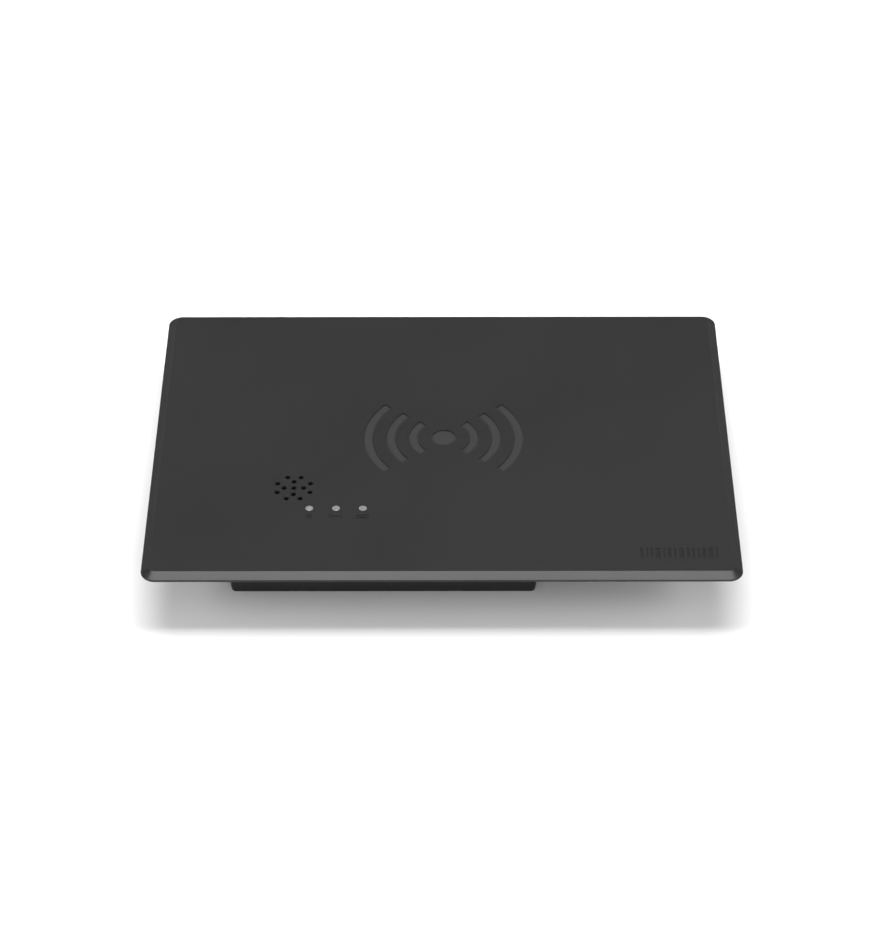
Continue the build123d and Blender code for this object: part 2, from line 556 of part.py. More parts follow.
def spiral_side(offset):
    """One edge of the rectangular spiral trace, offset outwards from its middle line."""
    sx = SX0 + offset
    sy = SY0 + offset
    points = [(-SX0, -sy)]
    radii = []
    for i in range(COIL_TURNS):
        step = i * COIL_PITCH
        points += [(sx - step, -sy + step), (sx - step, sy - step), (-sx + step, sy - step)]
        points.append((-sx + step, -sy + step + COIL_PITCH))
        radii += [COIL_CORNER_R - step + offset] * 4
    points[-1] = (points[-1][0], 0)
    return FilletPolyline(*points, radius=radii[:-1])


def transmit_coil():
    """A rounded rectangular spiral round the edge of the antenna board."""
    outer = spiral_side(COIL_TRACE / 2)
    inner = spiral_side(-COIL_TRACE / 2)
    ends = Line(outer @ 0, inner @ 0) + Line(outer @ 1, inner @ 1)
    return extrude(Pos(0, 0, Z_ANTENNA_TOP) * make_face(outer + inner + ends), COPPER_T)


def receive_coil():
    """A round spiral under the wave symbol, made of half turns that each shrink by half a pitch."""
    z = Z_ANTENNA_TOP + COPPER_T / 2
    arcs = []
    radius = RX_OUTER_R - COIL_TRACE / 2
    for i in range(2 * RX_TURNS):
        odd = i % 2
        centre = (SYMBOL_X - odd * RX_PITCH / 2, SYMBOL_Y, z)
        arcs.append(CenterArc(centre, radius, 180 * odd, 180))
        radius -= RX_PITCH / 2
    path = Wire(arcs)
    start = Plane(origin=path @ 0, x_dir=Vector(0, 0, 1).cross(path % 0), z_dir=path % 0)
    return sweep(start * Rectangle(COIL_TRACE, COPPER_T), path=path)


def tuning_capacitors():
    x0 = SYMBOL_X + RX_OUTER_R + 12.0
    z = Z_ANTENNA_TOP
    places = [(x0 + i * 6.0, SYMBOL_Y + j * 5.0) for i in range(3) for j in (-0.5, 0.5)]
    return [block(x - 1.6, x + 1.6, y - 1.25, y + 1.25, z, z + 1.0) for x, y in places]


def header(x, y, z0, z1, w=8.0, d=5.8):
    """A small wire-to-board connector and its plug in one piece, with a narrow pocket in the top."""
    shell = block(x - w / 2, x + w / 2, y - d / 2, y + d / 2, z0, z1)
    return shell - block(x - 1.0, x + 1.0, y - d / 2 + 1.4, y + d / 2 - 1.4, z0 + 0.8, z1)


def shield_plate():
    shield = plate(SHIELD_X1 - SHIELD_X0, BASE_D - 2 * OPEN_INSET + 2 * SHIELD_LEDGE, 2.0, Z_TRAY_FLOOR,
                   Z_TRAY_FLOOR + SHIELD_T, (SHIELD_X0 + SHIELD_X1) / 2, BASE_CY)
    return shield - rods(SMALL_PASS_D, Z_TRAY, Z_ANTENNA, SHIELD_SCREWS)


# ---------------------------------------------------------------- control board
PARTS_GAP = 1.0          # air between the tallest components and the shield
TALL = Z_TRAY_FLOOR - Z_PARTS - PARTS_GAP
CAP_D = Z_ANTENNA - Z_PARTS - 1.6
CAP_LEN = 18.0
MCU_X = CB_X1 - 40.0
MCU_Y = CB_Y0 + 28.0
COIL_X = CB_X1 - 16.0
COIL_Y = CB_Y0 + 22.0
SINK_X0 = CB_X1 - 50.0
SINK_X1 = CB_X1 - 4.0
SINK_Y1 = CB_Y1 - 12.0
HEADER_Z = Z_PARTS + HEADER_H / 2
SPEAKER_PLUG = (SPEAKER_X + 5.0, SPEAKER_Y + 24.3)
INDICATOR_PLUG = (LENS_X[1], LENS_Y + 22.3)
POWER_PLUG = (BASE_X0 + 52.5, CB_Y1 - 6.0)
ANTENNA_PLUG = (ANTENNA_PLUG_X, CB_Y1 - 25.0)
VOLUME_PLUG = (VOLUME_X, CB_Y1 - 4.5)
HEADER_D = 5.8
CAP_REAR_SHARE = 0.2     # of the free depth behind the speaker plug, left behind the capacitors
CAP_FREE = CB_Y1 - (SPEAKER_PLUG[1] + HEADER_D / 2) - CAP_LEN
CAP_Y1 = CB_Y1 - CAP_REAR_SHARE * CAP_FREE


def control_board():
    board = block(CB_X0, CB_X1, CB_Y0, CB_Y1, Z_CONTROL, Z_PARTS)
    return board - rods(SMALL_PASS_D, Z_CONTROL - 1, Z_PARTS + 1, CONTROL_SCREWS)


def microcontroller():
    size = 14.0
    body = Pos(MCU_X, MCU_Y, Z_PARTS + 0.1) * Box(size, size, 1.4, align=UP)
    body = chamfer(body.edges().group_by(Axis.Z)[-1], 0.25)
    body -= rod(1.4, Z_PARTS + 1.3, Z_PARTS + 2, MCU_X - 5.2, MCU_Y + 5.2)
    pins = []
    for i in range(11):
        at = (i - 5) * 1.1
        pins.append(Pos(MCU_X + at, MCU_Y, Z_PARTS) * Box(0.45, size + 2.4, 0.25, align=UP))
        pins.append(Pos(MCU_X, MCU_Y + at, Z_PARTS) * Box(size + 2.4, 0.45, 0.25, align=UP))
    return body + pins


def crystal():
    can = extrude(Pos(MCU_X, MCU_Y + 17.0, Z_PARTS) * SlotOverall(11.0, 4.6), 3.4)
    return fillet(edges_at(can, Z_PARTS + 3.4), 0.6)


def inductor_core():
    flange_t = 1.2
    core = rod(18.0, Z_PARTS, Z_PARTS + flange_t, COIL_X, COIL_Y)
    core += rod(8.0, Z_PARTS, Z_PARTS + TALL, COIL_X, COIL_Y)
    return core + rod(18.0, Z_PARTS + TALL - flange_t, Z_PARTS + TALL, COIL_X, COIL_Y)


def inductor_winding():
    z0 = Z_PARTS + 1.2
    z1 = Z_PARTS + TALL - 1.2
    return rod(16.0, z0, z1, COIL_X, COIL_Y) - rod(8.0, z0 - 1, z1 + 1, COIL_X, COIL_Y)


def storage_capacitors():
    cans = []
    for i in range(3):
        x = CB_X0 + 10.0 + i * (CAP_D + 1.5)
        can = Pos(x, CAP_Y1, Z_PARTS + CAP_D / 2) * Rot(90, 0, 0) * Cylinder(CAP_D / 2, CAP_LEN, align=UP)
        cans.append(fillet(can.edges().filter_by(GeomType.CIRCLE), 0.7))
    return cans


def heat_sink():
    plate_t = 1.6
    sink = block(SINK_X0, SINK_X1, SINK_Y1 - 30.0, SINK_Y1, Z_PARTS, Z_PARTS + plate_t)
    fins = [block(SINK_X0, SINK_X1, SINK_Y1 - 1.2 - i * 3.4, SINK_Y1 - i * 3.4, Z_PARTS, Z_PARTS + TALL)
            for i in range(4)]
    return (sink + fins) - rods(SMALL_PILOT_D, Z_PARTS, Z_PARTS + 3, transistor_screw_places())


def transistor_screw_places():
    return [(x, SINK_Y1 - 16.0) for x in ((SINK_X0 * 3 + SINK_X1) / 4, (SINK_X0 + SINK_X1 * 3) / 4)]


TAB_T = 1.3


def power_transistors():
    made = []
    z0 = Z_PARTS + 1.6
    for x, y in transistor_screw_places():
        body = block(x - 5.0, x + 5.0, y - 12.0, y - 3.0, z0, z0 + min(4.0, TALL - 1.8))
        tab = block(x - 5.0, x + 5.0, y - 3.0, y + 3.0, z0, z0 + TAB_T)
        made.append((body + tab) - rod(SMALL_PASS_D, z0 - 1, z0 + 3, x, y))
    return made


def board_headers():
    places = (SPEAKER_PLUG, INDICATOR_PLUG, POWER_PLUG, ANTENNA_PLUG, VOLUME_PLUG)
    return [header(x, y, Z_PARTS, Z_PARTS + HEADER_H) for x, y in places]


FUSE_X = CB_X0 + 20.0
FUSE_Y = CB_Y0 + 9.0
FUSE_D = 5.0
FUSE_LEN = 20.0
FUSE_Z = Z_PARTS + 3.4


def fuse():
    """A glass cartridge fuse with its end caps."""
    tube = Rot(0, 90, 0) * Cylinder(FUSE_D / 2 - 0.3, FUSE_LEN, align=UP)
    tube = Pos(FUSE_X - FUSE_LEN / 2, FUSE_Y, FUSE_Z) * tube
    for side in (-1, 1):
        cap = Rot(0, 90, 0) * Cylinder(FUSE_D / 2, 5.0)
        tube += Pos(FUSE_X + side * (FUSE_LEN / 2 - 2.5), FUSE_Y, FUSE_Z) * cap
    return tube


def fuse_clips():
    clips = []
    for side in (-1, 1):
        x = FUSE_X + side * (FUSE_LEN / 2 - 2.5)
        clip = block(x - 2.0, x + 2.0, FUSE_Y - 3.2, FUSE_Y + 3.2, Z_PARTS, FUSE_Z + 1.0)
        clips.append(clip - Pos(x, FUSE_Y, FUSE_Z) * Rot(0, 90, 0) * Cylinder(FUSE_D / 2, 6.0))
    return clips


# ---------------------------------------------------------------- rear controls
def inlet_body():
    y1 = BASE_Y1 + BEZEL_T
    body = rear_rod(INLET_BARREL_D, BASE_Y1 - SWITCH_DEPTH, y1, INLET_X)
    flange = rear_rod(INLET_FLANGE_D, BASE_Y1, y1, INLET_X)
    flange = chamfer(flange.edges().sort_by(Axis.Y)[-1], 0.4)
    return body + flange - rear_rod(INLET_BORE_D, y1 - INLET_DEPTH, y1 + 1, INLET_X)


def inlet_pin():
    y1 = BASE_Y1 + BEZEL_T
    pin = rear_rod(INLET_PIN_D, y1 - INLET_DEPTH, y1 - 0.8, INLET_X)
    return fillet(pin.edges().sort_by(Axis.Y)[-1], 0.4)


def switch_frame():
    body = block(SWITCH_X - SWITCH_BODY_W / 2, SWITCH_X + SWITCH_BODY_W / 2, BASE_Y1 - SWITCH_DEPTH, BASE_Y1,
                 PANEL_Z - SWITCH_BODY_H / 2, PANEL_Z + SWITCH_BODY_H / 2)
    bezel = block(SWITCH_X - SWITCH_W / 2, SWITCH_X + SWITCH_W / 2, BASE_Y1, BASE_Y1 + BEZEL_T,
                  PANEL_Z - BEZEL_H / 2, PANEL_Z + BEZEL_H / 2)
    bezel = chamfer(bezel.edges().group_by(Axis.Y)[-1], 0.4)
    cavity = block(SWITCH_X - ROCKER_CAVITY_W / 2, SWITCH_X + ROCKER_CAVITY_W / 2, BASE_Y1 - 6.0,
                   BASE_Y1 + BEZEL_T + 1, PANEL_Z - ROCKER_CAVITY_H / 2, PANEL_Z + ROCKER_CAVITY_H / 2)
    half_h = SWITCH_BODY_H / 2
    pivot = rod(ROCKER_PIN_D + 2 * THREAD_GAP, PANEL_Z - half_h - 1, PANEL_Z + half_h + 1, SWITCH_X, PIVOT_Y)
    return body + bezel - cavity - pivot


def switch_rocker():
    """The rocker with one end pressed in: a drum segment with a shallow V face and two stub pins."""
    rise = tan(radians(ROCKER_TILT))
    end_x = 0.82 * ROCKER_R
    end_y = sqrt(ROCKER_R ** 2 - end_x ** 2)
    foot_y = -1.5
    foot_x = sqrt(ROCKER_R ** 2 - foot_y ** 2)
    outline = Polyline((-end_x, end_y), (0, end_y - end_x * rise), (end_x, end_y))
    outline += ThreePointArc((end_x, end_y), (ROCKER_R, 0), (foot_x, foot_y))
    outline += Line((foot_x, foot_y), (-foot_x, foot_y))
    outline += ThreePointArc((-foot_x, foot_y), (-ROCKER_R, 0), (-end_x, end_y))
    rocker = extrude(make_face(outline), ROCKER_H / 2, both=True)
    pin_len = ROCKER_CAVITY_H + 1.0
    rocker += Pos(0, 0, -pin_len / 2) * Cylinder(ROCKER_PIN_D / 2, pin_len, align=UP)
    mark_depth = 0.25
    face_y = end_y - end_x * rise / 2
    bar = Box(0.6, 2 * mark_depth, 2.6)
    rocker -= Pos(-end_x / 2, face_y, 0) * Rot(0, 0, -ROCKER_TILT) * bar
    ring = Rot(90, 0, 0) * (Cylinder(1.2, 2 * mark_depth) - Cylinder(0.7, 2 * mark_depth + 1))
    rocker -= Pos(end_x / 2, face_y, 0) * Rot(0, 0, ROCKER_TILT) * ring
    return Pos(SWITCH_X, PIVOT_Y, PANEL_Z) * Rot(0, 0, -ROCKER_TILT) * rocker


TERMINAL_LEN = 5.0
TERMINAL_X = 3.0


def switch_terminals():
    y1 = BASE_Y1 - SWITCH_DEPTH
    return [block(SWITCH_X + s * TERMINAL_X - 0.4, SWITCH_X + s * TERMINAL_X + 0.4, y1 - TERMINAL_LEN, y1,
                  PANEL_Z - 1.6, PANEL_Z + 1.6) for s in (-1, 1)]


POT_SIZE = 9.5
POT_DEPTH = 6.0


def volume_pot_body():
    body = block(VOLUME_X - POT_SIZE / 2, VOLUME_X + POT_SIZE / 2, PANEL_IN - POT_DEPTH, PANEL_IN,
                 PANEL_Z - SWITCH_BODY_H / 2, PANEL_Z + SWITCH_BODY_H / 2)
    body += rear_rod(BUSH_D, PANEL_IN, KNOB_Y0 - 0.5, VOLUME_X)
    return body - rear_rod(SHAFT_D + 2 * THREAD_GAP, PANEL_IN - POT_DEPTH + 1.5, KNOB_Y0 + 1, VOLUME_X)


def volume_shaft():
    return rear_rod(SHAFT_D, PANEL_IN - POT_DEPTH + 2.0, KNOB_Y0 + KNOB_LEN - 2.5, VOLUME_X)


def volume_knob():
    knob = Cylinder(KNOB_D / 2 - 0.4, KNOB_LEN, align=UP)
    knob = fillet(knob.edges().sort_by(Axis.Z)[-1], 0.9)
    rib = Cylinder(0.5, KNOB_LEN - 1.6, align=UP)
    reach = KNOB_D / 2 - 0.5
    knob += [Rot(0, 0, i * 360 / KNOB_RIBS) * Pos(reach, 0, 0) * rib for i in range(KNOB_RIBS)]
    knob -= Pos(0, 0, -1) * Cylinder(SHAFT_D / 2, KNOB_LEN - 1.5, align=UP)
    knob -= Pos(0, -KNOB_D * 0.28, KNOB_LEN - 0.4) * Box(0.8, KNOB_D * 0.3, 1.0, align=UP)
    return Pos(VOLUME_X, KNOB_Y0, PANEL_Z) * Rot(-90, 0, 0) * knob


# ---------------------------------------------------------------- internal wiring
LEAD_D = 1.2             # slim two-core leads


def antenna_lead():
    y0 = ANTENNA_PLUG[1] + HEADER_D / 2
    y1 = ANTENNA_PLUG_Y - HEADER_D / 2 + 3.0
    z0 = HEADER_Z
    z1 = Z_ANTENNA - 2.2
    x = ANTENNA_PLUG_X
    return lead(2.2, [(x, y0, z0), (x, y0 + 0.3 * (y1 - y0), z0), (x, y1 - 0.3 * (y1 - y0), z1), (x, y1, z1)])


def antenna_header():
    return header(ANTENNA_PLUG_X, ANTENNA_PLUG_Y + 3.0, Z_ANTENNA - 4.2, Z_ANTENNA)


def speaker_lead():
    x = SPEAKER_PLUG[0]
    y0 = SPEAKER_Y + SPEAKER_D / 2 - 3.5
    y1 = SPEAKER_PLUG[1] - HEADER_D / 2
    points = [(x, y0, Z_SPEAKER), (x, y0, Z_SPEAKER - 4.2), (x, (y0 + y1) / 2, HEADER_Z), (x, y1, HEADER_Z)]
    return lead(LEAD_D, points)


def indicator_ribbon():
    """A flat cable from under the indicator board to its plug."""
    x = LENS_X[1]
    y0 = LENS_Y + 1.0
    y1 = INDICATOR_PLUG[1] - HEADER_D / 2
    z0 = Z_IND_TOP - BOARD_T
    points = [(x, y0, z0), (x, y0, z0 - 5.0), (x, (y0 + y1) / 2, HEADER_Z), (x, y1, HEADER_Z)]
    path = FilletPolyline(*points, radius=2.5)
    start = Plane(origin=path @ 0, x_dir=(1, 0, 0), z_dir=path % 0)
    return sweep(start * Rectangle(7.0, 0.8), path=path)


def rear_leads():
    rise_y = CB_Y1 + 3.0
    plug_y = POWER_PLUG[1] + HEADER_D / 2
    leads = []
    back = BASE_Y1 - SWITCH_DEPTH
    starts = ((INLET_X, back, -2.2), (SWITCH_X - TERMINAL_X, back - TERMINAL_LEN, 2.2))
    for x, y, side in starts:
        x1 = POWER_PLUG[0] + side
        points = [(x, y, PANEL_Z), (x, (y + rise_y) / 2, PANEL_Z), (x1, rise_y - 1.0, HEADER_Z)]
        leads.append(lead(LEAD_D, points + [(x1, plug_y, HEADER_Z)]))
    y = PANEL_IN - POT_DEPTH
    plug_y = VOLUME_PLUG[1] + HEADER_D / 2
    points = [(VOLUME_X, y, PANEL_Z), (VOLUME_X, y - 5.0, PANEL_Z), (VOLUME_X, rise_y, HEADER_Z)]
    leads.append(lead(LEAD_D, points + [(VOLUME_X, plug_y, HEADER_Z)]))
    return leads


# ---------------------------------------------------------------- all the nodes
def small_screws(places, seat_z, tip_z):
    return [screw(SMALL_SCREW_D, SMALL_HEAD_D, SMALL_HEAD_H, seat_z, tip_z, x, y) for x, y in places]


def tiny_screws(places, seat_z, tip_z):
    return [screw(TINY_SCREW_D, TINY_HEAD_D, TINY_HEAD_H, seat_z, tip_z, x, y) for x, y in places]


def big_screws(places, seat_z, tip_z):
    return [screw(SCREW_D, SCREW_HEAD_D, SCREW_HEAD_H, seat_z, tip_z, x, y) for x, y in places]


def build():
    nodes = {"top_cover": top_cover(), "lower_tray": lower_tray(), "base_housing": base_housing()}
    for name, (x, y) in {**BASE_FEET, **POST_FEET}.items():
        nodes[name] = foot(x, y)
    nodes["tray_screws"] = big_screws(TRAY_SCREWS, Z_TRAY + HEAD_SINK + SCREW_HEAD_H, Z_CEIL - 1.0)
    nodes["base_screws"] = big_screws(BASE_SCREWS, Z_BASE + 3.0, Z_ANTENNA - 0.8)
    nodes["rating_label"] = rating_label()
    for name, x in zip(("lens_power", "lens_detect", "lens_deactivate"), LENS_X):
        nodes[name] = lens(x)
    nodes["indicator_board"] = indicator_board()
    nodes["indicator_leds"] = indicator_leds()
    nodes["indicator_screws"] = tiny_screws(IND_SCREWS, Z_IND_TOP - BOARD_T, Z_CEIL - 1.0)
    nodes.update(speaker_parts())
    nodes["strap_screws"] = tiny_screws(STRAP_SCREWS, Z_SPEAKER - STRAP_T, Z_CEIL - 1.0)
    nodes["antenna_board"] = antenna_board()
    nodes["transmit_coil"] = transmit_coil()
    nodes["receive_coil"] = receive_coil()
    nodes["tuning_capacitors"] = tuning_capacitors()
    nodes["antenna_screws"] = small_screws(ANTENNA_SCREWS, Z_ANTENNA_TOP, Z_TRAY_FLOOR + 0.5)
    nodes["antenna_header"] = antenna_header()
    nodes["antenna_lead"] = antenna_lead()
    nodes["shield_plate"] = shield_plate()
    nodes["shield_screws"] = small_screws(SHIELD_SCREWS, Z_TRAY_FLOOR + SHIELD_T, Z_TRAY - 2.0)
    nodes["control_board"] = control_board()
    nodes["control_screws"] = small_screws(CONTROL_SCREWS, Z_PARTS, Z_FLOOR + 1.0)
    nodes["microcontroller"] = microcontroller()
    nodes["crystal"] = crystal()
    nodes["inductor_core"] = inductor_core()
    nodes["inductor_winding"] = inductor_winding()
    nodes["storage_capacitors"] = storage_capacitors()
    nodes["heat_sink"] = heat_sink()
    nodes["power_transistors"] = power_transistors()
    nodes["transistor_screws"] = small_screws(transistor_screw_places(), Z_PARTS + 1.6 + TAB_T, Z_PARTS + 0.2)
    nodes["board_headers"] = board_headers()
    nodes["fuse"] = fuse()
    nodes["fuse_clips"] = fuse_clips()
    nodes["speaker_lead"] = speaker_lead()
    nodes["indicator_ribbon"] = indicator_ribbon()
    nodes["rear_leads"] = rear_leads()
    nodes["inlet_body"] = inlet_body()
    nodes["inlet_pin"] = inlet_pin()
    nodes["inlet_nut"] = hex_nut(INLET_FLANGE_D, INLET_BARREL_D + SLIP, PANEL_IN - 2.0, PANEL_IN, INLET_X)
    nodes["switch_frame"] = switch_frame()
    nodes["switch_rocker"] = switch_rocker()
    nodes["switch_terminals"] = switch_terminals()
    nodes["volume_pot_body"] = volume_pot_body()
    nodes["volume_pot_nut"] = hex_nut(8.0, BUSH_D + SLIP, BASE_Y1, BASE_Y1 + NUT_H, VOLUME_X)
    nodes["volume_shaft"] = volume_shaft()
    nodes["volume_knob"] = volume_knob()
    return nodes


def main():
    os.makedirs("parts", exist_ok=True)
    nodes = build()
    for name, shape in nodes.items():
        solids = shape if isinstance(shape, list) else [shape]
        solids = [s for piece in solids for s in piece.solids()]
        export_step(solids[0] if len(solids) == 1 else Compound(children=solids), f"parts/{name}.step")
    print(len(nodes), "nodes; overall height", Z_TOP + LENS_DOME)


main()
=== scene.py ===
from math import cos, radians, sin

import bpy
from mathutils import Matrix, Vector


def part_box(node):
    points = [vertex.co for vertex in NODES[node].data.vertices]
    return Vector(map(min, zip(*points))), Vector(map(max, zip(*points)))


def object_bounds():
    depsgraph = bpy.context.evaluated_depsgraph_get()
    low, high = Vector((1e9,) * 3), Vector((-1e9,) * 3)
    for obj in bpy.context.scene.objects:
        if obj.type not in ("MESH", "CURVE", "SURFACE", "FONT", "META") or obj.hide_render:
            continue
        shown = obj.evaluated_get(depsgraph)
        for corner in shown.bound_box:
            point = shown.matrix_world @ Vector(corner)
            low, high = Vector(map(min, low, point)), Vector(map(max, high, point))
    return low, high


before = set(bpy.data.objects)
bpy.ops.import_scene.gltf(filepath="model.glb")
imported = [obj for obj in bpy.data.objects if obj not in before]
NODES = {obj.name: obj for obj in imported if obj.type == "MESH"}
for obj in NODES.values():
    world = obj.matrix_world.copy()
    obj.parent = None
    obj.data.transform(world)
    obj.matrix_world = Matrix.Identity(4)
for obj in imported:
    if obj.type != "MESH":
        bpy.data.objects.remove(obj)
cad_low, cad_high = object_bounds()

# the cover's top face, in metres
DOME_H = 0.0005                 # a lens dome stands this far above the top face
SYMBOL = (0.0010, 0.0004)       # middle of the wave symbol
SYMBOL_REACH = 0.050            # the symbol lies inside this radius
SYMBOL_FLOOR = (0.00040, 0.00060)       # its floor is between these depths
MARK_FLOOR = (0.00015, 0.00030)         # the small marks' floors are between these depths
MARK_Y = (-0.112, -0.060)       # and the marks lie in this strip
COVER_TONE = 0.0203
COVER_ROUGH = 0.34
SYMBOL_TONE = 0.0330
SYMBOL_ROUGH = 0.40
MARK_TONE = 0.017

# the camera: metres, millimetres for the lens and the sensor, degrees for the turn about the view
CAMERA_PLACE = (0.002609, -1.35668, 1.12602)
CAMERA_FORWARD = (-0.00245641, 0.768921, -0.63933908)
CAMERA_TURN = -0.1724
CAMERA_LENS = 115.30
CAMERA_SENSOR = 36.0
CAMERA_CLIP = (0.05, 20.0)

# the studio
FLOOR_REACH = 6.0
FLOOR_SEAM_GAP = 0.005          # the floor's two halves meet this far behind the object
WORLD_LEVEL = 0.16


# ------------------------------------------------------------------ node helpers
class Mat:
    """A Principled material with short calls for adding procedural nodes."""

    def __init__(self, name, **sockets):
        self.mat = bpy.data.materials.new(name)
        self.mat.use_nodes = True
        self.tree = self.mat.node_tree
        self.shader = self.tree.nodes["Principled BSDF"]
        for key, value in sockets.items():
            self.shader.inputs[key.replace("_", " ")].default_value = value
        self.coords = self.node("ShaderNodeTexCoord").outputs["Object"]

    def node(self, kind, **settings):
        made = self.tree.nodes.new(kind)
        for key, value in settings.items():
            setattr(made, key, value)
        return made

    def link(self, a, b):
        self.tree.links.new(a, b)

    def put(self, socket, value):
        if isinstance(value, (int, float, tuple)):
            socket.default_value = value
        else:
            self.link(value, socket)

    def math(self, operation, a, b=0.0):
        n = self.node("ShaderNodeMath", operation=operation)
        self.put(n.inputs[0], a)
        self.put(n.inputs[1], b)
        return n.outputs[0]

    def between(self, value, low, high):
        """1 where value is above low and below high, else 0."""
        under = self.math("LESS_THAN", value, high)
        over = self.math("GREATER_THAN", value, low)
        return self.math("MULTIPLY", under, over)

    def noise(self, scale, detail=3.0, rough=0.5):
        n = self.node("ShaderNodeTexNoise")
        n.inputs["Scale"].default_value = scale
        n.inputs["Detail"].default_value = detail
        n.inputs["Roughness"].default_value = rough
        self.link(self.coords, n.inputs["Vector"])
        return n.outputs["Fac"]

    def cells(self, scale):
        n = self.node("ShaderNodeTexVoronoi", feature="F1")
        n.inputs["Scale"].default_value = scale
        self.link(self.coords, n.inputs["Vector"])
        return n.outputs["Distance"]

    def wave(self, scale, direction="X", distortion=0.0):
        n = self.node("ShaderNodeTexWave", bands_direction=direction)
        n.inputs["Scale"].default_value = scale
        n.inputs["Distortion"].default_value = distortion
        self.link(self.coords, n.inputs["Vector"])
        return n.outputs["Fac"]

    def ramp(self, fac, low, high, start=0.3, end=0.7):
        n = self.node("ShaderNodeValToRGB")
        n.color_ramp.elements[0].position = start
        n.color_ramp.elements[1].position = end
        n.color_ramp.elements[0].color = (*low, 1)
        n.color_ramp.elements[1].color = (*high, 1)
        self.link(fac, n.inputs["Fac"])
        return n.outputs["Color"]

    def mix(self, fac, a, b):
        n = self.node("ShaderNodeMix", data_type="RGBA")
        self.link(fac, n.inputs["Factor"])
        self.put(n.inputs["A"], a)
        self.put(n.inputs["B"], b)
        return n.outputs["Result"]

    def spread(self, fac, low, high):
        """Maps the middle half of a 0 to 1 pattern onto low to high."""
        n = self.node("ShaderNodeMapRange")
        n.inputs["From Min"].default_value = 0.25
        n.inputs["From Max"].default_value = 0.75
        n.inputs["To Min"].default_value = low
        n.inputs["To Max"].default_value = high
        self.link(fac, n.inputs["Value"])
        return n.outputs["Result"]

    def bump(self, height, depth):
        n = self.node("ShaderNodeBump")
        n.inputs["Strength"].default_value = 1.0
        n.inputs["Distance"].default_value = depth
        self.link(height, n.inputs["Height"])
        self.link(n.outputs["Normal"], self.shader.inputs["Normal"])

    def color(self, value):
        self.link(value, self.shader.inputs["Base Color"])

    def rough(self, value):
        self.link(value, self.shader.inputs["Roughness"])


def grey(v):
    return (v, v, v)


def dress(mat, *names):
    for name in names:
        slots = NODES[name].data.materials
        slots.clear()
        slots.append(mat.mat)


# ------------------------------------------------------------------ materials
def spark_abs(name, tone, rough=0.5, grain=1500.0, depth=0.00003, spec=0.5):
    """Spark-eroded black ABS: fine even grain, faint flow variation, a little handling sheen."""
    m = Mat(name, Specular_IOR_Level=spec)
    flow = m.noise(9.0, 2.0)
    speck = m.noise(grain * 0.6, 2.0, 0.7)
    low = m.ramp(flow, grey(tone * 0.96), grey(tone * 1.04))
    m.color(m.mix(m.spread(speck, 0.0, 0.35), low, (*grey(tone * 1.35), 1)))
    sheen = m.spread(m.noise(22.0, 4.0), rough - 0.025, rough + 0.025)
    m.rough(m.math("ADD", sheen, m.spread(speck, -0.03, 0.03)))
    m.bump(m.noise(grain, 3.0, 0.6), depth)
    return m


def cover_material():
    """Textured top cover, with the symbol's floor a shade lighter and the small marks' floors darker."""
    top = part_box("lens_power")[1].z - DOME_H
    m = spark_abs("cover_spark_abs", COVER_TONE, COVER_ROUGH, 1500.0, 0.00003)
    base = m.shader.inputs["Base Color"].links[0].from_socket
    rough = m.shader.inputs["Roughness"].links[0].from_socket
    split = m.node("ShaderNodeSeparateXYZ")
    m.link(m.coords, split.inputs[0])
    x, y, z = split.outputs
    sunk = m.between(z, top - SYMBOL_FLOOR[1], top - SYMBOL_FLOOR[0])
    dx = m.math("SUBTRACT", x, SYMBOL[0])
    dy = m.math("SUBTRACT", y, SYMBOL[1])
    far = m.math("SQRT", m.math("ADD", m.math("MULTIPLY", dx, dx), m.math("MULTIPLY", dy, dy)))
    floor = m.math("MULTIPLY", sunk, m.math("LESS_THAN", far, SYMBOL_REACH))
    shallow = m.between(z, top - MARK_FLOOR[1], top - MARK_FLOOR[0])
    marks = m.math("MULTIPLY", shallow, m.between(y, *MARK_Y))
    marked = m.mix(marks, base, (*grey(MARK_TONE), 1))
    m.color(m.mix(floor, marked, (*grey(SYMBOL_TONE), 1)))
    blend = m.node("ShaderNodeMix", data_type="FLOAT")
    m.link(floor, blend.inputs["Factor"])
    m.link(rough, blend.inputs["A"])
    blend.inputs["B"].default_value = SYMBOL_ROUGH
    m.rough(blend.outputs["Result"])
    return m


def plain_moulding(name, tone, rough=0.45, grain=900.0, tint=(1, 1, 1), spec=0.5):
    m = Mat(name, Specular_IOR_Level=spec)
    dark = tuple(tone * 0.95 * t for t in tint)
    light = tuple(tone * 1.05 * t for t in tint)
    m.color(m.ramp(m.noise(60.0, 4.0), dark, light))
    m.rough(m.spread(m.noise(140.0, 3.0), rough - 0.07, rough + 0.07))
    m.bump(m.noise(grain, 2.0), 0.00002)
    return m


def metal(name, color, rough, grain=400.0, streak="X"):
    m = Mat(name, Metallic=1.0)
    m.color(m.ramp(m.noise(80.0, 4.0), tuple(c * 0.85 for c in color), color))
    m.rough(m.spread(m.wave(grain, streak, 6.0), rough - 0.06, rough + 0.08))
    m.bump(m.noise(grain * 2, 2.0), 0.00001)
    return m


def circuit_board(name, mask, track):
    m = Mat(name)
    lanes = m.math("GREATER_THAN", m.wave(260.0, "X", 1.5), 0.72)
    cross = m.math("GREATER_THAN", m.wave(230.0, "Y", 1.5), 0.75)
    area = m.math("GREATER_THAN", m.noise(45.0, 1.0), 0.5)
    keep = m.math("MULTIPLY", m.math("MAXIMUM", lanes, cross), area)
    m.color(m.mix(keep, (*mask, 1), (*track, 1)))
    m.rough(m.spread(m.noise(300.0), 0.28, 0.40))
    m.bump(keep, 0.00003)
    return m


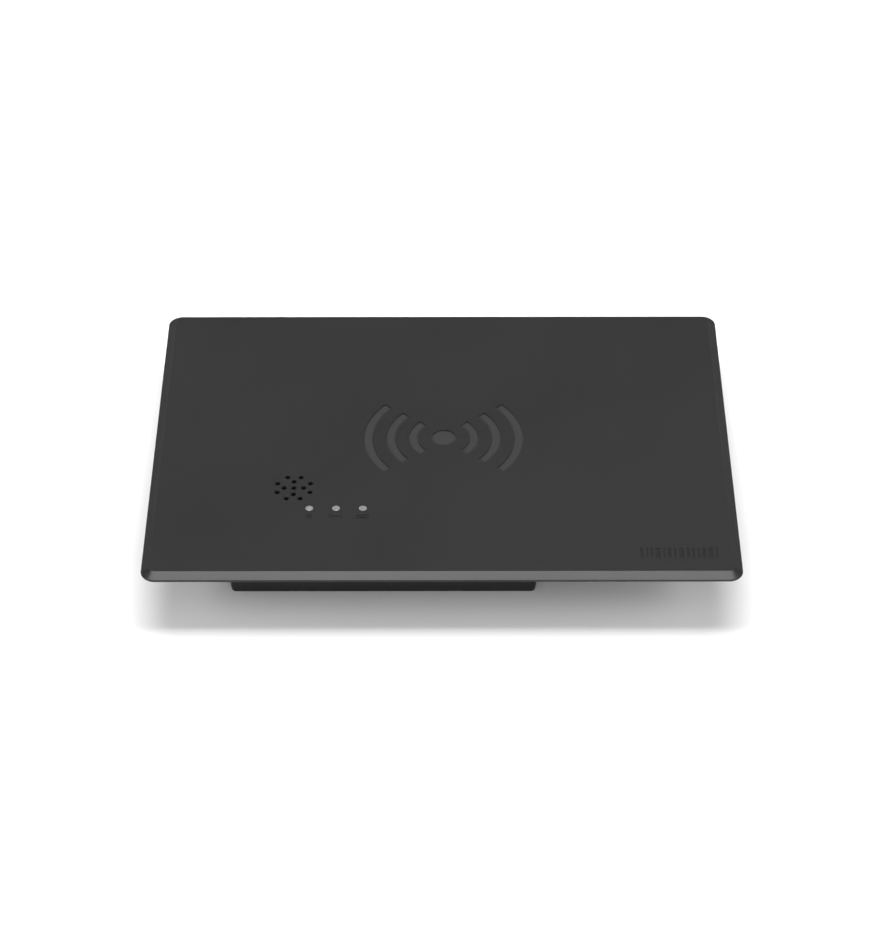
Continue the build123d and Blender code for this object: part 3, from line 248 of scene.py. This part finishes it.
def woven(name, tone):
    m = Mat(name, Specular_IOR_Level=0.1)
    weave = m.math("MULTIPLY", m.wave(900.0, "X"), m.wave(900.0, "Y"))
    m.color(m.ramp(weave, grey(tone * 0.4), grey(tone), 0.1, 0.6))
    m.shader.inputs["Roughness"].default_value = 0.9
    m.bump(weave, 0.00005)
    return m


def rubber(name, tone):
    m = Mat(name, Specular_IOR_Level=0.3)
    m.color(m.ramp(m.noise(120.0, 4.0), grey(tone * 0.8), grey(tone * 1.25)))
    m.rough(m.spread(m.noise(200.0), 0.68, 0.82))
    m.bump(m.cells(1100.0), 0.00004)
    return m


def lens_material():
    m = Mat("lens_frosted", Transmission_Weight=0.25, IOR=1.49, Coat_Weight=0.3, Coat_Roughness=0.15)
    m.color(m.ramp(m.noise(500.0, 3.0), grey(0.20), grey(0.285)))
    m.rough(m.spread(m.noise(900.0), 0.30, 0.40))
    m.bump(m.noise(1600.0), 0.00001)
    return m


def insulation(name, color, rough=0.42):
    m = Mat(name)
    m.color(m.ramp(m.noise(240.0, 3.0), tuple(c * 0.85 for c in color), color))
    m.rough(m.spread(m.noise(300.0), rough - 0.06, rough + 0.08))
    m.bump(m.noise(700.0), 0.00001)
    return m


def ribbon_material():
    m = Mat("ribbon_cable")
    m.color(m.ramp(m.wave(400.0, "X"), grey(0.30), grey(0.52), 0.2, 0.5))
    m.rough(m.spread(m.noise(300.0), 0.42, 0.52))
    m.bump(m.wave(400.0, "X"), 0.0002)
    return m


dress(cover_material(), "top_cover")
dress(spark_abs("tray_abs", 0.017, 0.52, 1100.0), "lower_tray")
# the base housing is the same black ABS as the cover; its much darker tone is painted shade standing in
# for the shade under the cover's overhang
dress(spark_abs("base_abs", 0.009, 0.50, 1100.0), "base_housing")
dress(rubber("foot_rubber", 0.04), *[n for n in NODES if n.startswith("foot_")])
dress(metal("black_oxide", (0.07, 0.07, 0.075), 0.42), "tray_screws", "base_screws")
dress(metal("zinc_plate", (0.62, 0.63, 0.64), 0.30), "indicator_screws", "strap_screws",
      "antenna_screws", "shield_screws", "control_screws", "transistor_screws", "speaker_strap")
dress(plain_moulding("label_film", 0.55, 0.4, 600.0, (1, 1, 0.96)), "rating_label")
dress(lens_material(), "lens_power", "lens_detect", "lens_deactivate")
dress(circuit_board("solder_mask", (0.012, 0.09, 0.03), (0.03, 0.17, 0.06)),
      "indicator_board", "control_board")
dress(circuit_board("antenna_laminate", (0.30, 0.26, 0.12), (0.34, 0.30, 0.15)), "antenna_board")
dress(plain_moulding("led_package", 0.75, 0.25, 900.0, (1, 0.97, 0.8)), "indicator_leds")
dress(plain_moulding("speaker_case", 0.03, 0.5), "speaker_frame")
dress(metal("nickel_plate", (0.66, 0.64, 0.60), 0.22), "speaker_magnet", "inlet_pin", "inlet_nut",
      "volume_pot_nut", "volume_shaft")
dress(plain_moulding("cone_film", 0.12, 0.35, 500.0, (1, 0.9, 0.75)), "speaker_cone")
dress(rubber("gasket_foam", 0.06), "speaker_gasket")
dress(woven("grille_weave", 0.004), "grille_cloth")
dress(metal("copper_bright", (0.82, 0.42, 0.24), 0.28),
      "transmit_coil", "receive_coil", "inductor_winding")
dress(plain_moulding("chip_ceramic", 0.4, 0.5, 1200.0, (1, 0.8, 0.55)), "tuning_capacitors")
dress(plain_moulding("header_nylon", 0.7, 0.4, 900.0, (1, 0.98, 0.88)),
      "antenna_header", "board_headers")
dress(insulation("wire_grey", (0.25, 0.25, 0.26)), "antenna_lead")
dress(insulation("wire_red", (0.40, 0.03, 0.02)), "speaker_lead")
dress(insulation("wire_black", (0.03, 0.03, 0.03)), "rear_leads")
dress(ribbon_material(), "indicator_ribbon")
dress(metal("rolled_aluminium", (0.76, 0.77, 0.78), 0.34), "shield_plate")
dress(metal("black_anodised", (0.06, 0.06, 0.065), 0.40), "heat_sink")
dress(plain_moulding("chip_epoxy", 0.035, 0.55), "microcontroller", "power_transistors")
dress(metal("tinned_can", (0.78, 0.77, 0.75), 0.20), "crystal")
dress(plain_moulding("ferrite", 0.08, 0.6, 1500.0), "inductor_core")
dress(plain_moulding("shrink_sleeve", 0.08, 0.25, 300.0, (0.3, 0.5, 1.4)), "storage_capacitors")
dress(plain_moulding("fuse_glass", 0.7, 0.1, 200.0, (0.95, 1, 1)), "fuse")
dress(metal("brass_clip", (0.78, 0.60, 0.30), 0.30), "fuse_clips", "switch_terminals")
dress(plain_moulding("jack_moulding", 0.028, 0.42), "inlet_body", "switch_frame")
dress(metal("die_cast", (0.55, 0.55, 0.56), 0.40), "volume_pot_body")
dress(plain_moulding("rocker_gloss", 0.025, 0.20, 500.0), "switch_rocker")
dress(plain_moulding("knob_moulding", 0.028, 0.48), "volume_knob")


# ------------------------------------------------------------------ camera
def make_camera():
    data = bpy.data.cameras.new("photo_camera")
    data.lens = CAMERA_LENS
    data.sensor_width = CAMERA_SENSOR
    data.clip_start, data.clip_end = CAMERA_CLIP
    forward = Vector(CAMERA_FORWARD).normalized()
    level = forward.cross(Vector((0, 0, 1))).normalized()
    above = level.cross(forward)
    turn = radians(CAMERA_TURN)
    right = level * cos(turn) + above * sin(turn)
    up = right.cross(forward)
    basis = Matrix((right, up, -forward)).transposed().to_4x4()
    cam = bpy.data.objects.new("photo_camera", data)
    cam.matrix_world = Matrix.Translation(CAMERA_PLACE) @ basis
    bpy.context.scene.collection.objects.link(cam)
    bpy.context.scene.camera = cam


# ------------------------------------------------------------------ floor and lights
def make_floor():
    """Two halves that meet behind the object, so that reflections leave out the rear one."""
    m = Mat("studio_white", Specular_IOR_Level=0.0)
    m.color(m.ramp(m.noise(3.0), grey(0.86), grey(0.88)))
    m.shader.inputs["Roughness"].default_value = 0.9
    reach = FLOOR_REACH
    seam = cad_high.y + FLOOR_SEAM_GAP
    for name, y0, y1 in (("floor_front", -reach, seam), ("floor_rear", seam, reach)):
        mesh = bpy.data.meshes.new(name)
        corners = [(-reach, y0, 0), (reach, y0, 0), (reach, y1, 0), (-reach, y1, 0)]
        mesh.from_pydata(corners, [], [(0, 1, 2, 3)])
        mesh.materials.append(m.mat)
        obj = bpy.data.objects.new(name, mesh)
        obj.visible_glossy = name == "floor_front"
        bpy.context.scene.collection.objects.link(obj)


def area_light(name, place, target, size, power, in_gloss=True, in_diffuse=True):
    """A rectangle of light that faces target: places and size in metres, power in watts."""
    data = bpy.data.lights.new(name, "AREA")
    data.shape = "RECTANGLE"
    data.size, data.size_y = size
    data.energy = power
    obj = bpy.data.objects.new(name, data)
    obj.location = place
    aim = Vector(target) - Vector(place)
    obj.rotation_mode = "QUATERNION"
    obj.rotation_quaternion = aim.to_track_quat("-Z", "Y")
    obj.visible_glossy = in_gloss
    obj.visible_diffuse = in_diffuse
    bpy.context.scene.collection.objects.link(obj)


def make_lights():
    """The overhead box and the cards behind show only as reflections; the other lights only
    light matt surfaces."""
    middle = (0.0, 0.0, 0.0)
    area_light("overhead_box", (0.0, -0.20, 1.20), (0.0, -0.10, 0.0), (1.6, 0.8), 21.0,
               in_diffuse=False)
    area_light("rear_box", (0.0, 1.05, 1.30), middle, (2.2, 0.7), 46.0, in_gloss=False)
    area_light("front_box", (0.0, -1.40, 0.75), middle, (2.0, 0.35), 9.8, in_gloss=False)
    area_light("rear_fill", (0.0, 1.40, 0.25), middle, (1.6, 0.3), 8.0, in_gloss=False)
    for side in (-1, 1):
        area_light("side_card", (side * 1.2, 1.9, 1.0), middle, (0.8, 0.8), 2.2, in_diffuse=False)
        area_light("side_fill", (side * 1.2, -0.1, 0.40), middle, (0.8, 0.5), 7.6, in_gloss=False)


def make_world():
    """An even grey that lights the scene and is left out of reflections."""
    world = bpy.data.worlds.new("studio")
    world.use_nodes = True
    colour = (WORLD_LEVEL, WORLD_LEVEL, WORLD_LEVEL, 1)
    world.node_tree.nodes["Background"].inputs["Color"].default_value = colour
    world.cycles_visibility.glossy = False
    bpy.context.scene.world = world


make_camera()
make_floor()
make_lights()
make_world()
bpy.context.scene.view_settings.view_transform = "Standard"
